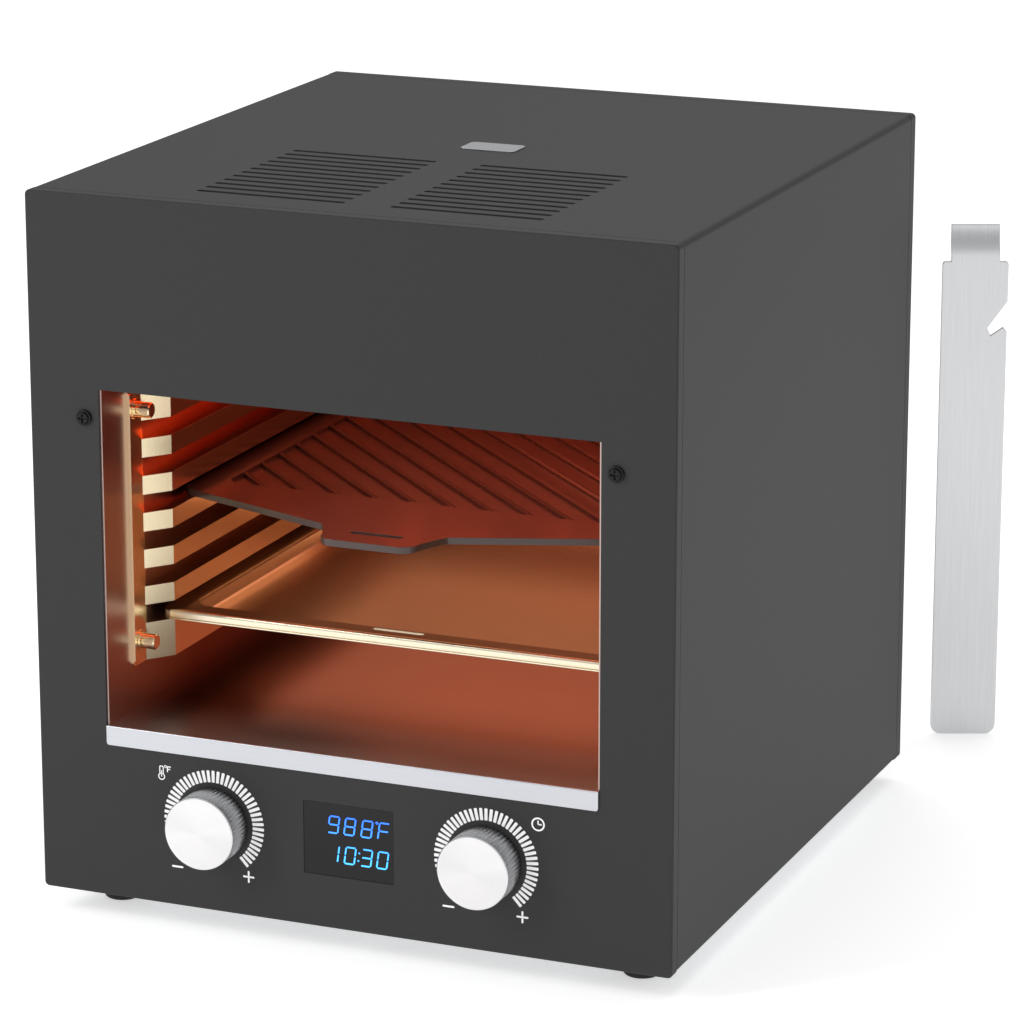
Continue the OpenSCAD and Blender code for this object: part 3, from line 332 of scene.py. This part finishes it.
# ---- Electrics ----
# Boards, relays, fan, inlet and leads, hidden in the case but for the inlet and the
# fan behind their cut-outs. Glass-epoxy boards, moulded plastics and silicone leads.
for finish, nodes in (
    (textured("solder_resist", "#27683d", "#1c5030", 4, 0.02, Roughness=0.35),
     ("control_board",)),
    (textured("paper_phenolic_board", "#80652f", "#695223", 3, 0.02, Roughness=0.45),
     ("power_board",)),
    (textured("moulded_black_plastic", "#1a1b1c", "#121213", 0.9, 0.03, Roughness=0.45),
     ("fan_frame", "fan_rotor", "power_inlet", "power_relays", "thermal_cutout",
      "display_module")),
    (textured("moulded_white_plastic", "#dedacd", "#cfcaba", 1, 0.02, Roughness=0.4),
     ("terminal_block", "temperature_plunger", "timer_plunger")),
    (textured("die_cast_zinc", "#9da0a3", "#7e8184", 0.8, 0.02, Roughness=0.4, Metallic=1.0),
     ("temperature_encoder", "timer_encoder", "encoder_nuts", "temperature_shaft",
      "timer_shaft")),
    (textured("mains_insulation", "#5f4027", "#4d321d", 1.5, 0.01, Roughness=0.45),
     ("mains_leads",)),
    (textured("woven_glass_sleeve", "#ddd2bb", "#bfb39a", 0.8, 0.08, Roughness=0.8),
     ("heater_leads",)),
    (textured("silicone_insulation", "#a8402e", "#933525", 1.5, 0.01, Roughness=0.5),
     ("probe_lead",)),
    (textured("ribbon_insulation", "#97999c", "#7f8184", 0.9, 0.05, (40, 1, 1), Roughness=0.5),
     ("control_cable",)),
):
    dress(finish, *nodes)

# ---- Drip tray ----
# Deep-drawn stainless tray with a rolled rim; a slot in the front ledge takes the
# lifting tool. Its section is a list of rings, joined one to the next.
tray_steel = textured(
    "drawn_stainless", "#f2e7cf", "#e2d6bb", 0.5, 0.006, (60, 1, 1), Roughness=0.24,
    gloss_swing=0.03, Metallic=1.0)
tray_low, tray_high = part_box("drip_tray")
tray_mid = (tray_low.y + tray_high.y) / 2 / mm
tray_w, tray_d = (tray_high.x - tray_low.x) / mm, (tray_high.y - tray_low.y) / mm
pan_w = 232.3
side_ledge, front_ledge, rear_ledge = (tray_w - pan_w) / 2, 15, 8
rim_h, rim_r, pan_r, sheet_t = 5.2, 7, 10, 0.8
slot_w, slot_d, slot_r, slot_in = 28.2, 3.7, 1.8, 11


def cut(bm, cutter):
    """Takes one bmesh out of another and gives back the rest."""
    pair = []
    for each in (bm, cutter):
        mesh = bpy.data.meshes.new("cut")
        each.to_mesh(mesh)
        each.free()
        pair.append(bpy.data.objects.new("cut", mesh))
        scene.collection.objects.link(pair[-1])
    modifier = pair[0].modifiers.new("cut", "BOOLEAN")
    modifier.object, modifier.operation, modifier.solver = pair[1], "DIFFERENCE", "EXACT"
    left = bmesh.new()
    left.from_object(pair[0], bpy.context.evaluated_depsgraph_get())
    for each in pair:
        bpy.data.objects.remove(each)
    return left


def rounded_plate(bm, width, depth, radius, centre, segments=6):
    """A flat face with round corners, sizes in mm; gives back its face."""
    before = set(bm.faces)
    corners = bmesh.ops.create_grid(bm, x_segments=1, y_segments=1, size=0.5)["verts"]
    bmesh.ops.scale(bm, vec=(width * mm, depth * mm, 1), verts=corners)
    bmesh.ops.translate(bm, vec=[c * mm for c in centre], verts=corners)
    bmesh.ops.bevel(
        bm, geom=corners, offset=radius * mm, offset_type="OFFSET", segments=segments,
        profile=0.5, affect="VERTICES", material=-1)
    return next(f for f in bm.faces if f not in before)


def rim_ring(inset, z):
    """The outline of the rim, drawn in by an inset."""
    return (tray_w - 2 * inset, tray_d - 2 * inset, rim_r - inset, (0, tray_mid, z))


def pan_ring(inset, z):
    """The outline of the pan, drawn in by an inset."""
    depth = tray_d - front_ledge - rear_ledge - 2 * inset
    middle = tray_mid + (front_ledge - rear_ledge) / 2
    return (tray_w - 2 * side_ledge - 2 * inset, depth, pan_r - inset, (0, middle, z))


top, bottom = tray_high.z / mm, tray_low.z / mm
edge_z = top - rim_h
# from the middle of the pan outward over the top, round the rim and back underneath
rings = [pan_ring(2.8, bottom + sheet_t), pan_ring(1.8, bottom + 1.8), pan_ring(0.9, top - 2),
         pan_ring(0.5, top - 1.3), pan_ring(-0.4, top - 0.9), rim_ring(1.9, top - 0.05)]
rings += [rim_ring(1.6 * (1 - math.sin(a)), top - 1.6 * (1 - math.cos(a)))
          for a in (math.radians(18 * i) for i in range(6))]
rings += [rim_ring(0, edge_z + 1.6), rim_ring(0.6, edge_z + 1.3), rim_ring(0.6, edge_z + 1.1),
          rim_ring(0, edge_z + 0.8), rim_ring(0, edge_z + 0.2), rim_ring(0.2, edge_z),
          rim_ring(1.6, edge_z), rim_ring(1.6, top - 1.9), rim_ring(2.2, top - 1.2),
          pan_ring(-0.6, top - 1.8), pan_ring(0, top - 2.4), pan_ring(1, bottom + 0.9),
          pan_ring(1.9, bottom)]
tray = bmesh.new()
loops = []
for i, ring in enumerate(rings):
    face = rounded_plate(tray, *ring)
    loops.append(list(face.edges))
    if 0 < i < len(rings) - 1:
        bmesh.ops.delete(tray, geom=[face], context="FACES_ONLY")
for outer, inner in zip(loops, loops[1:]):
    bmesh.ops.bridge_loops(tray, edges=outer + inner)
bmesh.ops.recalc_face_normals(tray, faces=tray.faces)
slot_cutter = bmesh.new()
slot_face = rounded_plate(
    slot_cutter, slot_w, slot_d, slot_r, (0, tray_low.y / mm + slot_in, bottom - 5), 4)
grown = bmesh.ops.extrude_face_region(slot_cutter, geom=[slot_face])["geom"]
bmesh.ops.translate(slot_cutter, vec=(0, 0, 20 * mm),
                    verts=[g for g in grown if isinstance(g, bmesh.types.BMVert)])
bmesh.ops.recalc_face_normals(slot_cutter, faces=slot_cutter.faces)
tray = cut(tray, slot_cutter)
add_piece("tray", tray, tray_steel, "drip_tray", ["drip_tray"])

# ---- Griddle ----
# Cast plate with diagonal ribs, dipped in a dark brown vitreous enamel that pulls
# back from the edges. The tab at the front is slotted for the lifting tool.
enamel = textured(
    "brown_vitreous_enamel", "#46342f", "#35251f", 5, 0.03, Roughness=0.36,
    gloss_swing=0.05, Coat_Weight=0.3, Coat_Roughness=0.16)
griddle = merged_copy("griddle_plate")
plate_t, rib_h = 6, 3.5
rib_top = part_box("griddle_plate")[0].z + plate_t * mm
soften(griddle, 0.9, 3, keep=lambda e: all(
    abs(v.co.z - rib_top) < 0.05 * mm or abs(v.co.z - rib_top + rib_h * mm) < 0.05 * mm
    for v in e.verts))
add_piece("griddle", griddle, enamel, "griddle", ["griddle_plate"])

# ---- Lifting tool ----
# A flat bar of 2.5 mm stainless with a hook notch and a stepped tongue, brushed
# along its length so that it shines in streaks, its edges tumbled.
tool_steel = textured(
    "brushed_stainless_bar", "#d9dadb", "#bcbdbf", 0.4, 0.008, (1, 1, 90), Roughness=0.3,
    Metallic=1.0)
tool = merged_copy("lifting_tool")
soften(tool, 0.35)
add_piece("tool", tool, tool_steel, "lifting_tool", ["lifting_tool"])

# ---- Knobs ----
# Turned aluminium: a ribbed skirt, a bright chamfer and a face spun in fine rings,
# which spreads every light into a fan. They stand just clear of the panel.
# real turning marks are some 0.1 mm apart; here they are wider so that they show
ring_pitch, ring_relief = 0.5, 0.003


def spun_aluminium(centre):
    """Aluminium turned about an axis along Y through centre."""
    material = textured(
        "spun_aluminium", "#e9eaeb", "#dfe0e2", 0.8, 0.0, Roughness=0.26, Metallic=1.0,
        Anisotropic=0.85, gloss_swing=0.02)
    tree = material.node_tree
    principled = tree.nodes["Principled BSDF"]
    place = add_node(tree, "TexCoord")
    arm = add_node(tree, "VectorMath", {0: place.outputs["Object"], 1: centre},
                   operation="SUBTRACT")
    round_way = add_node(tree, "VectorMath", {0: arm.outputs[0], 1: (0, 1, 0)},
                         operation="CROSS_PRODUCT")
    tangent = add_node(tree, "VectorTransform", {"Vector": round_way.outputs[0]},
                       vector_type="VECTOR", convert_from="OBJECT", convert_to="WORLD")
    tree.links.new(tangent.outputs["Vector"], principled.inputs["Tangent"])
    reach = add_node(tree, "VectorMath", {0: round_way.outputs[0]}, operation="LENGTH")
    rings = add_node(tree, "Math", {
        0: reach.outputs["Value"], 1: 2 * math.pi / (ring_pitch * mm)}, operation="MULTIPLY")
    wave = add_node(tree, "Math", {0: rings.outputs[0]}, operation="SINE")
    bump = add_node(tree, "Bump", {"Height": wave.outputs[0], "Distance": ring_relief * mm})
    tree.links.new(bump.outputs["Normal"], principled.inputs["Normal"])
    return material


def step_loop(bm, edges, rise):
    """Extrudes a loop of edges along the axis and gives back the new loop."""
    grown = bmesh.ops.extrude_edge_only(bm, edges=edges)["geom"]
    verts = [g for g in grown if isinstance(g, bmesh.types.BMVert)]
    bmesh.ops.translate(bm, vec=(0, 0, rise), verts=verts)
    return [g for g in grown if isinstance(g, bmesh.types.BMEdge)
            and all(v in verts for v in g.verts)]


def set_round(edges, radius):
    """Brings every vertex of a loop to one radius."""
    for vert in {v for e in edges for v in e.verts}:
        vert.co.xy = vert.co.xy.normalized() * radius


rib_count, rib_depth = 56, 0.6
collar, chamfer = 0.4, 0.5
skirt_t, hollow_depth = 3, 8
ribbed_aluminium = textured(
    "ribbed_aluminium", "#dadcde", "#c9cbce", 0.5, 0.005, Roughness=0.3, gloss_swing=0.03,
    Metallic=1.0)
for control in ("temperature", "timer"):
    low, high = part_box(control + "_knob")
    centre = (low + high) / 2
    radius = (high.x - low.x) / 2
    knob = bmesh.new()
    bmesh.ops.create_circle(knob, segments=4 * rib_count, radius=radius, cap_ends=False)
    knob.verts.ensure_lookup_table()
    for i, vert in enumerate(knob.verts):
        if i % 4 > 1:
            vert.co *= (radius - rib_depth * mm) / radius
    back_loop = list(knob.edges)
    # the ribbed skirt, a plain collar, the chamfer and the face
    loop = step_loop(knob, back_loop, high.y - low.y - (collar + chamfer) * mm)
    loop = step_loop(knob, loop, 0.0)
    set_round(loop, radius)
    loop = step_loop(knob, loop, collar * mm)
    loop = step_loop(knob, loop, chamfer * mm)
    set_round(loop, radius - chamfer * mm)
    bmesh.ops.contextual_create(knob, geom=loop)
    # the hollow behind, which the shaft comes into
    loop = step_loop(knob, back_loop, 0.0)
    set_round(loop, radius - skirt_t * mm)
    loop = step_loop(knob, loop, hollow_depth * mm)
    bmesh.ops.contextual_create(knob, geom=loop)
    bmesh.ops.recalc_face_normals(knob, faces=knob.faces)
    bmesh.ops.transform(
        knob, verts=knob.verts,
        matrix=Matrix.Translation((centre.x, high.y, centre.z)) @ Matrix.Rotation(
            math.pi / 2, 4, "X"))
    made = add_piece(control + "_dial_knob", knob, spun_aluminium(centre), control + "_knob",
                     [control + "_knob"], 20)
    made.data.materials.append(ribbed_aluminium)
    for polygon in made.data.polygons:
        polygon.material_index = 0 if polygon.normal.y < -0.5 else 1

# ---- Dials ----
# White marks screen printed on the panel round each knob: 47 rounded ticks, a minus,
# a plus, and a thermometer or a clock.
screen_ink = textured("white_screen_ink", "#ffffff", "#f6f6f6", 1, 0.0, Roughness=0.5)
ink_t = 0.05
tick_count, tick_sweep = 47, 138
tick_in, tick_out, tick_w = 21.3, 27.5, 1.6
sign_drop, sign_w, sign_t = 25.8, 6.3, 1


def draw_bar(bm, x, z, length, width, angle=0, corner=0.45):
    """A flat bar with eased corners, centred at x and z in mm, turned by an angle in degrees."""
    made = bmesh.ops.create_grid(bm, x_segments=1, y_segments=1, size=0.5)["verts"]
    bmesh.ops.scale(bm, vec=(length * mm, width * mm, 1), verts=made)
    made = bmesh.ops.bevel(
        bm, geom=made, offset=corner * min(length, width) * mm, offset_type="OFFSET",
        segments=3, profile=0.5, affect="VERTICES", material=-1)["verts"]
    bmesh.ops.transform(
        bm, verts=made, matrix=Matrix.Translation((x * mm, z * mm, 0)) @ Matrix.Rotation(
            math.radians(angle), 4, "Z"))
    return made


def draw_ring(bm, x, z, outer, stroke):
    """A flat ring centred at x and z, in mm."""
    edges = []
    for radius in (outer, outer - stroke):
        made = bmesh.ops.create_circle(
            bm, segments=32, radius=radius * mm, cap_ends=False,
            matrix=Matrix.Translation((x * mm, z * mm, 0)))["verts"]
        edges += list({e for v in made for e in v.link_edges})
    bmesh.ops.bridge_loops(bm, edges=edges)


def raise_marks(bm, y, thickness):
    """Gives flat marks a thickness in mm and stands them on the plane at y, facing front."""
    bmesh.ops.recalc_face_normals(bm, faces=bm.faces)
    for face in bm.faces:
        if face.normal.z < 0:
            face.normal_flip()
    grown = bmesh.ops.extrude_face_region(bm, geom=bm.faces[:])["geom"]
    bmesh.ops.translate(bm, vec=(0, 0, thickness * mm),
                        verts=[g for g in grown if isinstance(g, bmesh.types.BMVert)])
    bmesh.ops.transform(bm, verts=bm.verts, matrix=Matrix.Translation(
        (0, y, 0)) @ Matrix.Rotation(math.pi / 2, 4, "X"))
    bmesh.ops.recalc_face_normals(bm, faces=bm.faces)


marks = bmesh.new()
low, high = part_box("timer_knob")
knob_x, knob_z = (low.x + high.x) / 2 / mm, (low.z + high.z) / 2 / mm
for dial_x in (-knob_x, knob_x):
    for i in range(tick_count):
        angle = math.radians(90 + tick_sweep - i * 2 * tick_sweep / (tick_count - 1))
        mid = (tick_in + tick_out) / 2
        draw_bar(marks, dial_x + mid * math.cos(angle), knob_z + mid * math.sin(angle),
                 tick_out - tick_in, tick_w, math.degrees(angle), 0.25)
# a minus where each sweep starts and a plus where it ends
for x in (-94.1, 53.4, -54.7, 92.5):
    draw_bar(marks, x, knob_z - sign_drop, sign_w, sign_t)
for x in (-54.7, 92.5):
    for side in (-1, 1):
        draw_bar(marks, x, knob_z - sign_drop + side * 1.85, 2.6, sign_t, 90)
# the thermometer, with its unit, and the clock
bulb_x, icon_z = -102, knob_z + 23
draw_ring(marks, bulb_x, icon_z - 2.1, 1.9, 0.55)
for side in (-1, 1):
    draw_bar(marks, bulb_x + side * 0.95, icon_z + 1.4, 3.6, 0.55, 90)
draw_bar(marks, bulb_x, icon_z + 3.2, 2.0, 0.55)
draw_bar(marks, bulb_x, icon_z - 0.6, 3.4, 0.5, 90)
draw_ring(marks, -99.8, icon_z + 3.3, 0.75, 0.35)
draw_bar(marks, -98.7, icon_z + 2.0, 3.2, 0.6, 90)
draw_bar(marks, -97.7, icon_z + 3.3, 1.8, 0.6)
draw_bar(marks, -97.8, icon_z + 2.0, 1.4, 0.55)
clock_x = 100.6
draw_ring(marks, clock_x, icon_z, 3.5, 0.8)
draw_bar(marks, clock_x, icon_z + 0.9, 2.2, 0.7, 90)
draw_bar(marks, clock_x + 0.9, icon_z, 2.2, 0.7)
raise_marks(marks, front_y + 0.01 * mm, ink_t)
add_piece("dial_marks", marks, screen_ink, "oven")

# ---- Display ----
# A smoked acrylic lens set just under the panel's face, with seven-segment digits
# that shine blue through it: the set temperature over the time.
smoked_acrylic = textured(
    "smoked_acrylic", "#08080a", "#060607", 30, 0.0, Roughness=0.14, gloss_swing=0.02,
    Specular_IOR_Level=0.35)
dress(smoked_acrylic, "display_window")
lens_left, lens_top = -24.25, knob_z + 19


def fading_light(name, lower, upper, lower_z, upper_z):
    """A light that goes from one colour to another between two heights in mm."""
    material = textured(
        name, "#1f6dff", "#1f6dff", 5, 0.0, Roughness=0.5, Emission_Strength=1.3)
    tree = material.node_tree
    place = add_node(tree, "TexCoord")
    axes = add_node(tree, "SeparateXYZ", {"Vector": place.outputs["Object"]})
    height = add_node(tree, "MapRange", {
        "Value": axes.outputs["Z"], "From Min": lower_z * mm, "From Max": upper_z * mm})
    hue = add_node(tree, "Mix", {
        "Factor": height.outputs["Result"], 6: linear(lower), 7: linear(upper)},
        data_type="RGBA")
    tree.links.new(hue.outputs[2], tree.nodes["Principled BSDF"].inputs["Emission Color"])
    return material


blue_light = fading_light(
    "blue_digit_light", "#52d4ff", "#2f62ff", lens_top - 30, lens_top - 5)
segments_of = {
    "0": "abcdef", "1": "bc", "3": "abcdg", "8": "abcdefg", "9": "abcdfg", "F": "aefg"}
digit_w, digit_h, stroke = 6.1, 9.4, 0.8
lean = math.tan(math.radians(8))


def draw_digit(bm, x, z, text, scale=1.0):
    """A seven-segment figure, leaning to the right, centred at x and z in mm."""
    w, h = (digit_w - stroke) / 2 * scale, (digit_h - stroke) / 2 * scale
    centres = {"a": (0, h, 0), "g": (0, 0, 0), "d": (0, -h, 0), "b": (w, h / 2, 90),
               "c": (w, -h / 2, 90), "e": (-w, -h / 2, 90), "f": (-w, h / 2, 90)}
    for name in segments_of[text]:
        cx, cz, angle = centres[name]
        length = (2 * w if angle == 0 else h) - 0.5
        made = draw_bar(bm, x + cx, z + cz, length, stroke, angle, 0.45)
        for vert in made:
            vert.co.x += (vert.co.y - z * mm) * lean


digits = bmesh.new()
row = lens_top - 11
for text, x in (("9", 16.3), ("8", 25.0), ("8", 34.2), ("F", 43.2)):
    draw_digit(digits, lens_left + x, row, text)
draw_ring(digits, lens_left + 39.6, row + 4, 0.7, 0.45)
row = lens_top - 26.1
for text, x in (("1", 16.0), ("0", 25.0), ("3", 33.9), ("0", 42.5)):
    draw_digit(digits, lens_left + x, row, text)
for z in (-2, 2):
    draw_bar(digits, lens_left + 29.7 + z * lean, row + z, 0.9, 0.9)
lens_inset, light_t = 0.3, 0.06
raise_marks(digits, front_y + lens_inset * mm, light_t)
add_piece("lit_digits", digits, blue_light, "oven")
